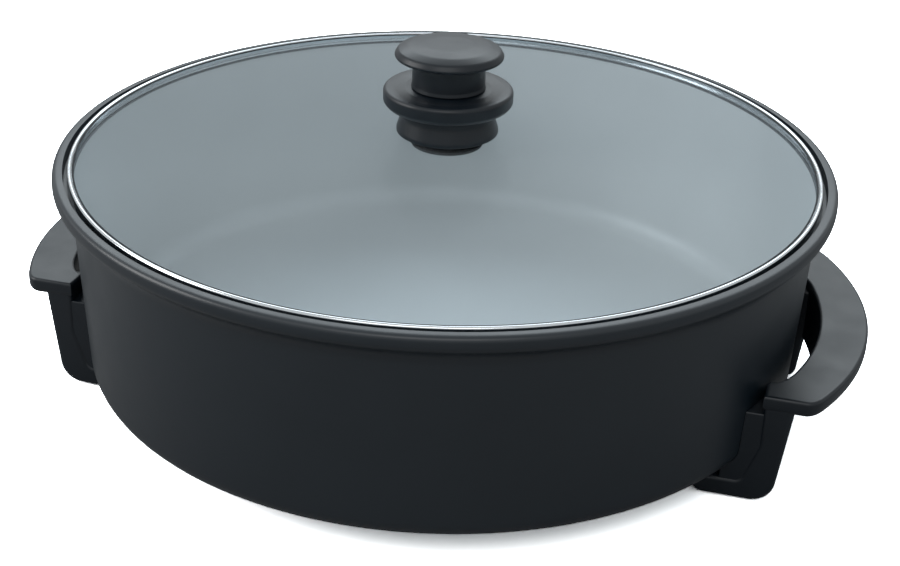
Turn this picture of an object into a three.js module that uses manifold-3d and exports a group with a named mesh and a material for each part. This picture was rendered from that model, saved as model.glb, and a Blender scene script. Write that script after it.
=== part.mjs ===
// Electric party pan with a lift-off glass lid. Millimetres, +Z up.
// The origin is on the table under the middle of the pan, and +X points at the handle over the socket.
import * as THREE from 'three';
import { mergeVertices } from 'three/addons/utils/BufferGeometryUtils.js';
import Module from 'manifold-3d';

const wasm = await Module();
wasm.setup();

// Driving dimensions

const gap = 0.3; // between pieces that touch
const overrun = 4; // how far a cutter runs past a face

const pan = {
  rimRadius: 199.8, // outside of the rolled rim
  roll: 4.7, // radius of the roll
  depth: 111.8, // underside to the top of the rim
  neckTuck: 3.5, // outside of the wall, in from the middle of the roll
  draft: 4.6, // how far the wall comes in by the bottom corner
  corner: 10, // outside radius of the bottom corner
  innerCorner: 12,
  wall: 2.5,
  floor: 3,
  seatTuck: 1.6, // bore that the lid drops into, in from the middle of the roll
  seatDepth: 5.8, // rim top down to the ledge
};

const lid = {
  sideGap: 0.6, // between the ring and the seat's bore
  sheet: 0.8, // steel of the ring
  topLip: 3.6,
  bottomLip: 4.6,
  bend: 1, // outside radius of the ring's top bend
  glass: 4,
  flatEdge: 3.8, // flat margin of the glass inside the ring
  rise: 10.8, // dome of the glass
  holePlay: 1.5, // hole for the knob's screw, round the screw
};

const knob = {
  gasket: 1,
  gasketInset: 3, // gasket's edge, in from the foot's
  baseRadius: 26,
  baseLip: 3.5, // height of the widest part at the foot
  waistInset: 2,
  baseHeight: 15.7, // foot to the underside of the flange
  flangeOverhang: 7.2, // past the foot
  flange: 8,
  stemRadius: 18.6,
  stemFlare: 1.8, // how much wider the stem's foot is
  stem: 15.2,
  topRadius: 27.8,
  shoulderInset: 6.3, // where the top turns flat, in from its edge
  topEdge: 1.8,
  topShoulderRise: 4.6,
  topCrown: 0.9,
  rimShare: 0.25, // rounding of the flange's rim, of its thickness
  rimDropShares: [0.25, 0.5], // fall of the flange's top towards the stem, of that rounding
  lipShares: [0.5, 2], // foot's straight part, and where the waist begins, of the lip
  edgeShares: [0.5, 0.33], // turn of the top's lower edge: across and up, of the edge
  shoulderShares: [[0.92, 0.33], [0.6, 0.75]], // how far out and how far up the shoulder turns
  crownShares: [0.5, 0.75], // how far out and how far up the crown's middle point is
};

const fixing = {
  screwRadius: 2.5, // knob screw
  headRadius: 5.2,
  head: 2.6,
  reach: 12, // how far the screw goes into the knob
  washer: 1.5,
  washerRadius: 22,
  plate: 1.2,
  plateRadius: 9,
  bore: 0.5, // radial play of the screw in the pieces it passes
};

const grip = {
  top: 60.5, // table to the flat top
  thick: 8.5,
  beyondRim: 24, // reach past the rim
  width: 24.5, // at the middle
  outerArc: 162.6,
  innerArc: 155.5,
  halfLength: 77.7, // middle to the front end
  rearRun: 18.5, // how much longer the rear end is
  tailTaper: 9, // inner edge drawn in along the rear end
  innerSetback: 12.1, // straight inner edge by the ends, in from the neck radius
  endStretch: 14, // length of that straight edge
  slotInset: 27.7, // from the end to where the finger gap begins to close
  endRound: 9,
  edge: 2.6, // rounding of the edges
  skirt: 2.2, // wall that hangs from the inner edge by the rear leg
  skirtDepth: 24,
  skirtLevel: 15, // behind the middle: from here on its lower edge rises to the front
  skirtRise: 0.25, // how steeply
};

const leg = {
  inset: 0.5, // behind the grip's front end
  width: 26,
  topSetback: 30.5, // outer face in from the grip's reach, at the top
  bottomSetback: 35, // and at the foot
  lift: 1, // underside of the foot above the table
  toeMargin: 5.7, // end of the toe under the pan, past the middle of its screw
  heel: 16, // width of the leg under the grip
  heelHeight: 32,
  outerRound: 12,
  toeRound: 4,
  innerRound: 8,
  edge: 2.2,
  shell: 3.4,
  webSetback: 1.2, // web between the leg and the wall, in from the leg's faces
  webClear: 1.5, // web to the boss over the toe
  webDrop: 2, // top of the web below the grip
};

const pad = {
  fromScrew: 1.9, // from the hole of the toe's screw
  width: 15,
  thick: 2.2,
  round: 4,
  fromOuter: 8, // from the foot's outer face
};

const boss = {
  radius: 5,
  height: 5.7,
  margin: 3, // between the boss and the edge of the flat floor
  cap: 0.9, // metal left above its hole
};

const smallScrew = {
  radius: 2,
  headRadius: 4,
  head: 2.6,
  bore: 0.4,
  sink: 0.6, // head behind the face it is sunk in
  endPlay: 0.5,
};

const screwHeadShares = [0.8, 0.4]; // flat face of a head and height of its rounded turn

const element = {
  inset: 30, // middle of the ring, in from the edge of the heat plate
  tube: 3.5,
  bend: 14,
  leadInset: 30, // end of the two straight leads, in from the edge of the flat floor
  pitch: 32, // between the leads
};

const plate = {
  inset: 52, // edge of the heat plate, in from the edge of the flat floor
  thick: 3.4,
  cap: 1, // metal left above its holes
};

const clip = {
  sheet: 1.2,
  width: 12,
  tongue: 17,
  screwFromEnd: 6,
  cover: 7, // length of the hook under the tube
};

const inlet = {
  underRoom: 3.3, // table to the underside
  sideRoom: 11, // middle of a pin to the outside
  length: 36,
  wall: 2,
  back: 2.5,
  round: 2.5,
  ear: 13,
  earLength: 14,
  earThick: 3,
  pinRadius: 2.5,
  pinInset: 5, // tip of a pin behind the mouth
  pinTip: 0.8,
  sleeveWall: 0.8,
  sleeveInset: 33, // closed end, in from the ring of the element
  mouthInset: 8, // open end behind the mouth
};

const sides = { body: 60, knob: 28, small: 12, pin: 14, tube: 8, dome: 5, path: 76 };

// Places worked out from the dimensions

const inletHalfHeight = plate.thick + gap + element.tube;
const elementHeight = inlet.underRoom + inletHalfHeight;
const bossTop = elementHeight + inletHalfHeight;
const clearance = bossTop + gap; // table to the pan's underside

const rimTop = clearance + pan.depth;
const rollCentre = { r: pan.rimRadius - pan.roll, z: rimTop - pan.roll };
const neckRadius = rollCentre.r - pan.neckTuck;
const lowRadius = neckRadius - pan.draft;
const seatRadius = rollCentre.r - pan.seatTuck;
const ledge = rimTop - pan.seatDepth;
const floorTop = clearance + pan.floor;
const flatRadius = lowRadius - pan.corner;

const ring = {};
ring.outer = seatRadius - lid.sideGap;
ring.bottom = ledge + gap;
ring.glassBottom = ring.bottom + lid.sheet + gap;
ring.glassTop = ring.glassBottom + lid.glass;
ring.top = ring.glassTop + gap + lid.sheet;
ring.glassEdge = ring.outer - lid.sheet - gap;

const glassHole = fixing.screwRadius + lid.holePlay;
const apex = ring.glassTop + lid.rise;
const seatFoot = apex + gap + knob.gasket + gap;
const flangeBottom = seatFoot + knob.baseHeight;
const flangeTop = flangeBottom + knob.flange;
const flangeRadius = knob.baseRadius + knob.flangeOverhang;
const stemFoot = flangeTop + gap;
const topUnder = stemFoot + knob.stem;
const knobTop = topUnder + knob.topEdge + knob.topShoulderRise + knob.topCrown;

const gripReach = pan.rimRadius + grip.beyondRim;
const gripUnder = grip.top - grip.thick;
const innerCentre = gripReach - grip.width - grip.innerArc;
const legFar = grip.halfLength - leg.inset;
const legMiddle = legFar - leg.width / 2;
const bossRadial = flatRadius - boss.radius - boss.margin;
const toeScrew = at(Math.sqrt(bossRadial ** 2 - legMiddle ** 2), legMiddle);
const toeEnd = toeScrew.x - leg.toeMargin;
const webInner = toeScrew.x + boss.radius + leg.webClear;
const bossUnder = bossTop - boss.height;
const bossHoleTop = bossTop - boss.cap;
const toeTop = bossUnder - gap;

const plateUnder = bossTop - plate.thick;
const plateHoleTop = bossTop - plate.cap;
const plateRadius = flatRadius - plate.inset;
const elementRadius = plateRadius - element.inset;
const leadEnd = flatRadius - element.leadInset;
const inletBack = leadEnd + gap;
const inletFront = inletBack + inlet.length;
const inletHalfWidth = element.pitch / 2 + inlet.sideRoom;
const earUnder = bossUnder - gap - inlet.earThick;
const earScrew = at(inletBack + inlet.earLength / 2, inletHalfWidth + inlet.ear / 2);

// Materials

function finish(color, roughness, metalness, extra = {}) {
  return new THREE.MeshStandardMaterial({ color, roughness, metalness, ...extra });
}

const painted = finish(0x3a4149, 0.5, 0.2);
const aluminium = finish(0xb4b8bb, 0.4, 1);
const steel = finish(0xd4d8db, 0.16, 1);
const zinc = finish(0xaeb3b7, 0.42, 1);
const moulding = finish(0x25292d, 0.45, 0);
const rubber = finish(0x1a1b1c, 0.85, 0);
const glass = finish(0xa9b2b8, 0.06, 0, { transparent: true, opacity: 0.35 });

// Solids

// A closed geometry with its doubled vertices merged and its faces turned outwards.
function closed(geometry) {
  const bare = geometry.clone();
  bare.deleteAttribute('normal');
  bare.deleteAttribute('uv');
  const merged = mergeVertices(bare);
  const index = merged.index.array;
  const vertices = merged.attributes.position;
  const corner = [new THREE.Vector3(), new THREE.Vector3(), new THREE.Vector3()];
  const kept = [];
  let volume = 0;
  for (let i = 0; i < index.length; i += 3) {
    const [a, b, c] = [index[i], index[i + 1], index[i + 2]];
    if (a === b || b === c || c === a) continue;
    kept.push(a, b, c);
    corner.forEach((point, k) => point.fromBufferAttribute(vertices, index[i + k]));
    volume += corner[0].dot(corner[1].clone().cross(corner[2]));
  }
  if (volume < 0) kept.reverse();
  merged.setIndex(kept);
  return merged;
}

function solid(geometry) {
  const clean = closed(geometry);
  return new wasm.Manifold(new wasm.Mesh({
    numProp: 3,
    vertProperties: new Float32Array(clean.attributes.position.array),
    triVerts: new Uint32Array(clean.index.array),
  }));
}

function geometryOf(manifold) {
  const made = manifold.getMesh();
  const geometry = new THREE.BufferGeometry();
  geometry.setAttribute('position', new THREE.BufferAttribute(made.vertProperties, made.numProp));
  geometry.setIndex(new THREE.BufferAttribute(made.triVerts, 1));
  return geometry;
}

function cut(body, ...cutters) {
  return cutters.reduce((left, cutter) => left.subtract(cutter), body);
}

// Points along a round stretch, from one angle to another in degrees.
function round(r, z, radius, from, to, steps) {
  const points = [];
  for (let i = 0; i <= steps; i += 1) {
    const angle = THREE.MathUtils.degToRad(from + ((to - from) * i) / steps);
    points.push(at(r + radius * Math.cos(angle), z + radius * Math.sin(angle)));
  }
  return points;
}

function at(r, z) {
  return new THREE.Vector2(r, z);
}

// A profile of radius and height turned about the Z axis.
function turned(profile, segments) {
  return new THREE.LatheGeometry(profile, segments).rotateX(Math.PI / 2);
}

// The same for a profile that goes round a bore: its last point joins its first.
function turnedRing(profile, segments) {
  return turned([...profile, profile[0]], segments);
}

function drum(radius, bottom, top, segments = sides.small) {
  return turned([at(0, bottom), at(radius, bottom), at(radius, top), at(0, top)], segments);
}

function drumAt(radius, bottom, top, spot) {
  return drum(radius, bottom, top).translate(spot.x, spot.y, 0);
}

function block(x, y, z) {
  const size = [x[1] - x[0], y[1] - y[0], z[1] - z[0]];
  const middle = [(x[0] + x[1]) / 2, (y[0] + y[1]) / 2, (z[0] + z[1]) / 2];
  return new THREE.BoxGeometry(...size).translate(...middle);
}

// An outline through corners, each [x, y, rounding].
function outline(corners) {
  const shape = new THREE.Shape();
  corners.forEach(([x, y, radius], i) => {
    const here = at(x, y);
    const before = at(...corners.at(i - 1));
    const after = at(...corners[(i + 1) % corners.length]);
    const start = here.clone().add(before.sub(here).setLength(radius));
    const end = here.clone().add(after.sub(here).setLength(radius));
    if (i === 0) shape.moveTo(start.x, start.y);
    else shape.lineTo(start.x, start.y);
    if (radius > 0) shape.quadraticCurveTo(x, y, end.x, end.y);
  });
  shape.closePath();
  return shape;
}

// A shape drawn out to a thickness, with its edges rounded and its outline kept.
function drawn(shape, thick, edge, curveSegments = 4) {
  return new THREE.ExtrudeGeometry(shape, {
    depth: thick - 2 * edge,
    bevelEnabled: edge > 0,
    bevelThickness: edge,
    bevelSize: edge,
    bevelOffset: -edge,
    bevelSegments: 2,
    curveSegments,
  }).translate(0, 0, edge);
}

// Pan

// The pan's outside from the middle of its underside up to the roll, grown by some play.
function panOutside(play) {
  const corner = pan.corner;
  return [
    at(0, clearance - play),
    ...round(flatRadius, clearance + corner, corner + play, -90, -4, 4),
  ];
}

function panBody() {
  const neckAngle = -THREE.MathUtils.radToDeg(Math.acos(-pan.neckTuck / pan.roll));
  const seatAngle = THREE.MathUtils.radToDeg(Math.acos(-pan.seatTuck / pan.roll));
  const innerFlat = lowRadius - pan.wall - pan.innerCorner;
  return turned([
    ...panOutside(0),
    ...round(rollCentre.r, rollCentre.z, pan.roll, neckAngle, seatAngle, 9),
    at(seatRadius, ledge),
    at(neckRadius - pan.wall, ledge),
    ...round(innerFlat, floorTop + pan.innerCorner, pan.innerCorner, -4, -90, 4),
    at(0, floorTop),
  ], sides.body);
}

// A solid of the pan's outside with the running gap round it, for cutting what lies against it.
function panCutter() {
  return solid(turned([
    ...panOutside(gap),
    at(neckRadius + gap, rimTop),
    at(0, rimTop),
  ], sides.body));
}

// Lid

function lidRing() {
  const inner = ring.outer - lid.sheet;
  const underLip = ring.top - lid.sheet;
  const overLip = ring.bottom + lid.sheet;
  const bend = ring.outer - lid.bend;
  return turnedRing([
    at(ring.outer - lid.bottomLip, ring.bottom),
    at(ring.outer, ring.bottom),
    ...round(bend, ring.top - lid.bend, lid.bend, 0, 90, 3),
    at(ring.outer - lid.topLip, ring.top),
    at(ring.outer - lid.topLip, underLip),
    at(inner, underLip),
    at(inner, overLip),
    at(ring.outer - lid.bottomLip, overLip),
  ], sides.body);
}

// A round of the dome from the flat edge to the hole, or back.
function dome(base, outwards) {
  const edge = ring.glassEdge - lid.flatEdge;
  const radius = (edge ** 2 + lid.rise ** 2) / (2 * lid.rise);
  const points = [];
  for (let i = 0; i <= sides.dome; i += 1) {
    const r = THREE.MathUtils.lerp(edge, glassHole, i / sides.dome);
    points.push(at(r, base + Math.sqrt(radius ** 2 - r ** 2) - radius + lid.rise));
  }
  return outwards ? points.reverse() : points;
}

function lidGlass() {
  return turnedRing([
    ...dome(ring.glassBottom, true),
    at(ring.glassEdge, ring.glassBottom),
    at(ring.glassEdge, ring.glassTop),
    ...dome(ring.glassTop, false),
  ], sides.body);
}

// Knob

function knobSeat() {
  const bore = fixing.screwRadius + fixing.bore;
  const rim = knob.flange * knob.rimShare;
  const [edgeDrop, footDrop] = knob.rimDropShares.map((share) => rim * share);
  const [lipStraight, lipTop] = knob.lipShares.map((share) => knob.baseLip * share);
  const waist = knob.baseRadius - knob.waistInset;
  const tuck = flangeRadius - 2 * rim;
  const stemFootRadius = knob.stemRadius + knob.stemFlare;
  return turnedRing([
    at(bore, seatFoot),
    at(knob.baseRadius, seatFoot),
    at(knob.baseRadius, seatFoot + lipStraight),
    at(waist, seatFoot + lipTop),
    at(waist, flangeBottom - rim),
    at(tuck, flangeBottom),
    ...round(flangeRadius - rim, flangeBottom + rim, rim, -60, 0, 2),
    ...round(flangeRadius - rim, flangeTop - rim, rim, 0, 75, 3),
    at(tuck, flangeTop - edgeDrop),
    at(stemFootRadius, flangeTop - footDrop),
    at(stemFootRadius - rim, flangeTop),
    at(bore, flangeTop),
  ], sides.knob);
}

function knobGrip() {
  const bore = fixing.screwRadius + fixing.bore;
  const edge = topUnder + knob.topEdge;
  const shoulder = edge + knob.topShoulderRise;
  const boreTop = stemFoot + fixing.reach + gap;
  const shoulderRadius = knob.topRadius - knob.shoulderInset;
  const [edgeAcross, edgeUp] = knob.edgeShares.map((share) => knob.topEdge * share);
  const turn = knob.shoulderShares.map(([out, up]) => at(
    THREE.MathUtils.lerp(shoulderRadius, knob.topRadius, out),
    edge + knob.topShoulderRise * up,
  ));
  const [crownOut, crownUp] = knob.crownShares;
  return turned([
    at(0, boreTop),
    at(bore, boreTop),
    at(bore, stemFoot),
    at(knob.stemRadius + knob.stemFlare, stemFoot),
    at(knob.stemRadius, stemFoot + knob.stemFlare * 2),
    at(knob.stemRadius, topUnder - knob.topEdge),
    at(knob.stemRadius + knob.topEdge, topUnder),
    at(knob.topRadius - edgeAcross, topUnder + edgeUp),
    at(knob.topRadius, edge),
    ...turn,
    at(shoulderRadius, shoulder),
    at(shoulderRadius * crownOut, shoulder + knob.topCrown * crownUp),
    at(0, knobTop),
  ], sides.knob);
}

function washer(outer, inner, bottom, top, segments) {
  return turnedRing([at(inner, bottom), at(outer, bottom), at(outer, top), at(inner, top)], segments);
}

// A screw that stands on its head, from the underside of the head up to its tip.
function screw(radius, headRadius, headBottom, headTop, tip) {
  const [faceShare, turnShare] = screwHeadShares;
  return turned([
    at(0, headBottom),
    at(headRadius * faceShare, headBottom),
    at(headRadius, THREE.MathUtils.lerp(headBottom, headTop, turnShare)),
    at(headRadius, headTop),
    at(radius, headTop),
    at(radius, tip - radius / 2),
    at(radius / 2, tip),
    at(0, tip),
  ], sides.small);
}

// Handles

// Where the grip's outer arc gives way to a rounded end, at some length from the middle.
function gripEnd(length) {
  const angle = Math.asin((length - grip.endRound) / grip.outerArc);
  const x = gripReach - grip.outerArc * (1 - Math.cos(angle));
  return { angle, x, pull: x - grip.endRound * Math.tan(angle) };
}

function gripOutline() {
  const outerCentre = gripReach - grip.outerArc;
  const innerEdge = neckRadius - grip.innerSetback;
  const rearLength = grip.halfLength + grip.rearRun;
  const front = gripEnd(grip.halfLength);
  const rear = gripEnd(rearLength);
  const straight = grip.halfLength - grip.endStretch;
  const slotHalf = grip.halfLength - grip.slotInset;
  const slotAngle = Math.asin(slotHalf / grip.innerArc);
  const slotEnd = innerCentre + grip.innerArc * Math.cos(slotAngle);
  const shape = new THREE.Shape();
  shape.moveTo(innerEdge, -grip.halfLength);
  shape.lineTo(front.x - grip.endRound, -grip.halfLength);
  shape.quadraticCurveTo(front.pull, -grip.halfLength, front.x, grip.endRound - grip.halfLength);
  shape.absarc(outerCentre, 0, grip.outerArc, -front.angle, rear.angle, false);
  shape.quadraticCurveTo(rear.pull, rearLength, rear.x - grip.endRound, rearLength);
  shape.lineTo(innerEdge - grip.tailTaper, rearLength);
  shape.lineTo(innerEdge, straight);
  shape.quadraticCurveTo((innerEdge + slotEnd) / 2, straight - gap, slotEnd, slotHalf);
  shape.absarc(innerCentre, 0, grip.innerArc, slotAngle, -slotAngle, true);
  shape.quadraticCurveTo((innerEdge + slotEnd) / 2, gap - straight, innerEdge, -straight);
  shape.closePath();
  return shape;
}

// The wall under the grip's inner edge. It is deep by the rear leg and runs out to the front.
function gripSkirt() {
  const reach = legFar - leg.width + leg.edge;
  const outside = grip.innerArc + grip.skirt;
  const outerAngle = Math.asin(reach / outside);
  const innerAngle = Math.asin(reach / grip.innerArc);
  const shape = new THREE.Shape();
  shape.absarc(innerCentre, 0, outside, -outerAngle, outerAngle, false);
  shape.absarc(innerCentre, 0, grip.innerArc, innerAngle, -innerAngle, true);
  shape.closePath();
  const wall = drawn(shape, grip.skirtDepth + grip.edge, 0, 8);
  const below = block([0, gripReach], [-gripReach, gripReach], [-gripReach, 0]);
  below.rotateX(-Math.atan(grip.skirtRise)).translate(0, grip.skirtLevel, 0);
  return cut(solid(wall), solid(below)).translate(0, 0, gripUnder - grip.skirtDepth);
}

function legOutline() {
  const top = gripUnder + grip.edge;
  const outerTop = gripReach - leg.topSetback;
  const outerFoot = gripReach - leg.bottomSetback;
  const innerTop = neckRadius - grip.innerSetback;
  const heel = outerFoot - leg.heel;
  return outline([
    [toeEnd, leg.lift, leg.toeRound],
    [outerFoot, leg.lift, leg.outerRound],
    [outerTop, top, 0],
    [innerTop, top, 0],
    [innerTop, leg.heelHeight, leg.innerRound],
    [heel, toeTop, leg.toeRound],
    [toeEnd, toeTop, leg.toeRound],
  ]);
}

// A recess or pad under the foot: a rounded plate between two heights.
function padShape(play, bottom, top) {
  const outer = gripReach - leg.bottomSetback - pad.fromOuter + play;
  const inner = toeScrew.x + smallScrew.headRadius + smallScrew.bore + pad.fromScrew - play;
  const half = pad.width / 2 + play;
  const shape = outline([
    [inner, legMiddle - half, pad.round],
    [outer, legMiddle - half, pad.round],
    [outer, legMiddle + half, pad.round],
    [inner, legMiddle + half, pad.round],
  ]);
  return drawn(shape, top - bottom, 0, 3).translate(0, 0, bottom);
}

// The web that fills the room between a leg and the pan, before the pan's shape is cut from it.
function legWeb() {
  const half = leg.width / 2 - leg.webSetback;
  return block(
    [webInner, neckRadius - grip.innerSetback + leg.edge],
    [legMiddle - half, legMiddle + half],
    [toeTop - leg.shell, gripUnder - leg.webDrop],
  );
}

function oneLeg() {
  const pocketHalf = leg.width / 2 - leg.webSetback - leg.shell;
  const pocket = block(
    [toeEnd - overrun, gripReach - leg.bottomSetback - leg.shell],
    [legMiddle - pocketHalf, legMiddle + pocketHalf],
    [toeTop + leg.shell, gripUnder - leg.webDrop - leg.shell],
  );
  const toeHole = smallScrew.radius + smallScrew.bore;
  const headHole = smallScrew.headRadius + smallScrew.bore;
  const headTop = leg.lift + smallScrew.sink + smallScrew.head + gap;
  const body = solid(drawn(legOutline(), leg.width, leg.edge).rotateX(Math.PI / 2).translate(0, legFar, 0));
  return cut(
    body.add(solid(legWeb())),
    solid(pocket),
    solid(drumAt(toeHole, leg.lift - overrun, toeTop + overrun, toeScrew)),
    solid(drumAt(headHole, leg.lift - overrun, headTop, toeScrew)),
    solid(padShape(gap, leg.lift - overrun, pad.thick + gap)),
  );
}

// The right handle. The left one is its mirror image.
function handle() {
  const plateSolid = solid(drawn(gripOutline(), grip.thick, grip.edge, 8).translate(0, 0, gripUnder));
  const rearLeg = oneLeg();
  const frontLeg = rearLeg.mirror([0, 1, 0]);
  return cut(plateSolid.add(gripSkirt()).add(rearLeg).add(frontLeg), panCutter());
}

// Heating

function onArc(x, y, radius, angle) {
  return at(x + radius * Math.cos(angle), y + radius * Math.sin(angle));
}

// The middle of the element's tube: in along one lead, round the ring and out along the other.
class ElementPath extends THREE.Curve {
  constructor() {
    super();
    const half = element.pitch / 2;
    const bendY = half + element.bend;
    const bendX = Math.sqrt((elementRadius + element.bend) ** 2 - bendY ** 2);
    const turn = Math.atan2(bendY, bendX);
    const leadIn = leadEnd - bendX;
    const bendSweep = Math.PI / 2 - turn;
    const ringSweep = 2 * (Math.PI - turn);
    const { bend } = element;
    this.parts = [
      [leadIn, (s) => at(leadEnd - s, half)],
      [bend * bendSweep, (s) => onArc(bendX, bendY, bend, -Math.PI / 2 - s / bend)],
      [elementRadius * ringSweep, (s) => onArc(0, 0, elementRadius, turn + s / elementRadius)],
      [bend * bendSweep, (s) => onArc(bendX, -bendY, bend, Math.PI - turn - s / bend)],
      [leadIn, (s) => at(bendX + s, -half)],
    ];
    this.total = this.parts.reduce((sum, [length]) => sum + length, 0);
  }

  getPoint(t, target = new THREE.Vector3()) {
    let left = t * this.total;
    let point = null;
    this.parts.forEach(([length, where], i) => {
      if (point) return;
      if (left <= length || i === this.parts.length - 1) point = where(left);
      left -= length;
    });
    return target.set(point.x, point.y, elementHeight);
  }
}

function heatingElement() {
  const section = new THREE.Shape();
  section.absarc(0, 0, element.tube, 0, 2 * Math.PI, false);
  return new THREE.ExtrudeGeometry(section, {
    steps: sides.path,
    curveSegments: sides.tube / 2,
    bevelEnabled: false,
    extrudePath: new ElementPath(),
  });
}

const clipAngles = [90, 180, 270];
const clipInner = elementRadius - element.tube - 2 * gap - clip.sheet - clip.tongue;
const clipScrewPlace = at(clipInner + clip.screwFromEnd, 0);
const clipTop = plateUnder - gap;

function heatPlate() {
  const hole = smallScrew.radius + smallScrew.bore;
  const cutters = clipAngles.map((angle) => solid(
    drumAt(hole, plateUnder - overrun, plateHoleTop, clipScrewPlace)
      .rotateZ(THREE.MathUtils.degToRad(angle)),
  ));
  const disc = drum(plateRadius, plateUnder, bossTop, sides.body);
  return geometryOf(cut(solid(disc), ...cutters));
}

// A strap screwed up to the plate, hooked under the tube.
function elementClip() {
  const wallOuter = elementRadius - element.tube - 2 * gap;
  const wallInner = wallOuter - clip.sheet;
  const hookTop = elementHeight - element.tube - gap;
  const hookEnd = wallOuter + clip.cover;
  const shape = new THREE.Shape([
    at(clipInner, clipTop),
    at(clipInner, clipTop - clip.sheet),
    at(wallInner, clipTop - clip.sheet),
    at(wallInner, hookTop - clip.sheet),
    at(hookEnd, hookTop - clip.sheet),
    at(hookEnd, hookTop),
    at(wallOuter, hookTop),
    at(wallOuter, clipTop),
  ]);
  const strap = drawn(shape, clip.width, 0).rotateX(Math.PI / 2).translate(0, clip.width / 2, 0);
  const hole = smallScrew.radius + smallScrew.bore;
  const bore = drumAt(hole, clipTop - overrun, clipTop + overrun, clipScrewPlace);
  return geometryOf(cut(solid(strap), solid(bore)));
}

function clipScrew() {
  const headTop = clipTop - clip.sheet - gap;
  const tip = plateHoleTop - smallScrew.endPlay;
  return screw(smallScrew.radius, smallScrew.headRadius, headTop - smallScrew.head, headTop, tip)
    .translate(clipScrewPlace.x, 0, 0);
}

// Inlet

function inletShroud() {
  const wall = inlet.wall;
  const box = (play, x) => {
    const half = inletHalfWidth - play;
    const shape = outline([
      [-half, inlet.underRoom + play, inlet.round],
      [half, inlet.underRoom + play, inlet.round],
      [half, bossTop - play, inlet.round],
      [-half, bossTop - play, inlet.round],
    ]);
    const tube = drawn(shape, x[1] - x[0], 0, 3).rotateX(Math.PI / 2).rotateZ(Math.PI / 2);
    return solid(tube.translate(x[0], 0, 0));
  };
  const along = (radius, y) => {
    const hole = drum(radius, -overrun, inlet.back + overrun, sides.pin);
    return solid(hole.rotateY(Math.PI / 2).translate(inletBack, y, elementHeight));
  };
  const ears = block(
    [inletBack, inletBack + inlet.earLength],
    [-inletHalfWidth - inlet.ear, inletHalfWidth + inlet.ear],
    [earUnder, earUnder + inlet.earThick],
  );
  const bore = smallScrew.radius + smallScrew.bore;
  return geometryOf(cut(
    box(0, [inletBack, inletFront]).add(solid(ears)),
    box(wall, [inletBack + inlet.back, inletFront + overrun]),
    along(inlet.pinRadius + gap, element.pitch / 2),
    along(inlet.pinRadius + gap, -element.pitch / 2),
    along(element.tube + gap, 0),
    solid(drumAt(bore, inlet.underRoom, bossTop, earScrew)),
    solid(drumAt(bore, inlet.underRoom, bossTop, at(earScrew.x, -earScrew.y))),
  ));
}

function inletPin() {
  const end = inlet.length - inlet.pinInset;
  return turned([
    at(0, 0),
    at(inlet.pinRadius, 0),
    at(inlet.pinRadius, end - inlet.pinTip),
    at(inlet.pinRadius - inlet.pinTip, end),
    at(0, end),
  ], sides.pin).rotateY(Math.PI / 2).translate(inletBack, 0, elementHeight);
}

// The tube that takes the thermostat's probe: open at the socket, closed under the plate.
function probeSleeve() {
  const sleeveInner = elementRadius - inlet.sleeveInset;
  const length = inletFront - inlet.mouthInset - sleeveInner;
  const bore = element.tube - inlet.sleeveWall;
  return turned([
    at(0, 0),
    at(element.tube, 0),
    at(element.tube, length),
    at(bore, length),
    at(bore, inlet.sleeveWall),
    at(0, inlet.sleeveWall),
  ], sides.pin).rotateY(Math.PI / 2).translate(sleeveInner, 0, elementHeight);
}

// Bosses under the floor, and the screws that go up into them

function mountBoss() {
  const bore = smallScrew.radius + smallScrew.bore;
  return turned([
    at(0, bossHoleTop),
    at(bore, bossHoleTop),
    at(bore, bossUnder),
    at(boss.radius, bossUnder),
    at(boss.radius, bossTop),
    at(0, bossTop),
  ], sides.pin);
}

function bossScrew(headTop) {
  const tip = bossHoleTop - smallScrew.endPlay;
  return screw(smallScrew.radius, smallScrew.headRadius, headTop - smallScrew.head, headTop, tip);
}

// Assembly

const partyPan = new THREE.Group();
const panGroup = new THREE.Group();
const lidGroup = new THREE.Group();
partyPan.add(panGroup, lidGroup);

function place(group, name, geometry, material, position = at(0, 0), degrees = 0) {
  const piece = new THREE.Mesh(geometry, material);
  piece.name = name;
  piece.position.set(position.x, position.y, 0);
  piece.rotation.z = THREE.MathUtils.degToRad(degrees);
  group.add(piece);
}

place(panGroup, 'pan_body', panBody(), painted);

const rightHandle = handle();
const handles = { right: geometryOf(rightHandle), left: geometryOf(rightHandle.mirror([1, 0, 0])) };
const footPad = padShape(0, 0, pad.thick);
const bossGeometry = mountBoss();
const toeScrewGeometry = bossScrew(leg.lift + smallScrew.sink + smallScrew.head);
const earScrewGeometry = bossScrew(earUnder - gap);

for (const [side, degrees] of [['right', 0], ['left', 180]]) {
  place(panGroup, `handle_${side}`, handles[side], moulding);
  for (const [end, sign] of [['front', -1], ['rear', 1]]) {
    const turn = degrees === 0 ? 1 : -1;
    const spot = at(toeScrew.x * turn, toeScrew.y * sign);
    const padPlace = at(0, (sign * turn - 1) * legMiddle * turn);
    place(panGroup, `foot_pad_${side}_${end}`, footPad, rubber, padPlace, degrees);
    place(panGroup, `mount_boss_${side}_${end}`, bossGeometry, aluminium, spot);
    place(panGroup, `handle_screw_${side}_${end}`, toeScrewGeometry, zinc, spot);
  }
}

place(panGroup, 'heat_plate', heatPlate(), aluminium);
place(panGroup, 'heating_element', heatingElement(), steel);
const clipGeometry = elementClip();
const clipScrewGeometry = clipScrew();
clipAngles.forEach((angle, i) => {
  place(panGroup, `element_clip_${i + 1}`, clipGeometry, zinc, at(0, 0), angle);
  place(panGroup, `clip_screw_${i + 1}`, clipScrewGeometry, zinc, at(0, 0), angle);
});

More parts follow.
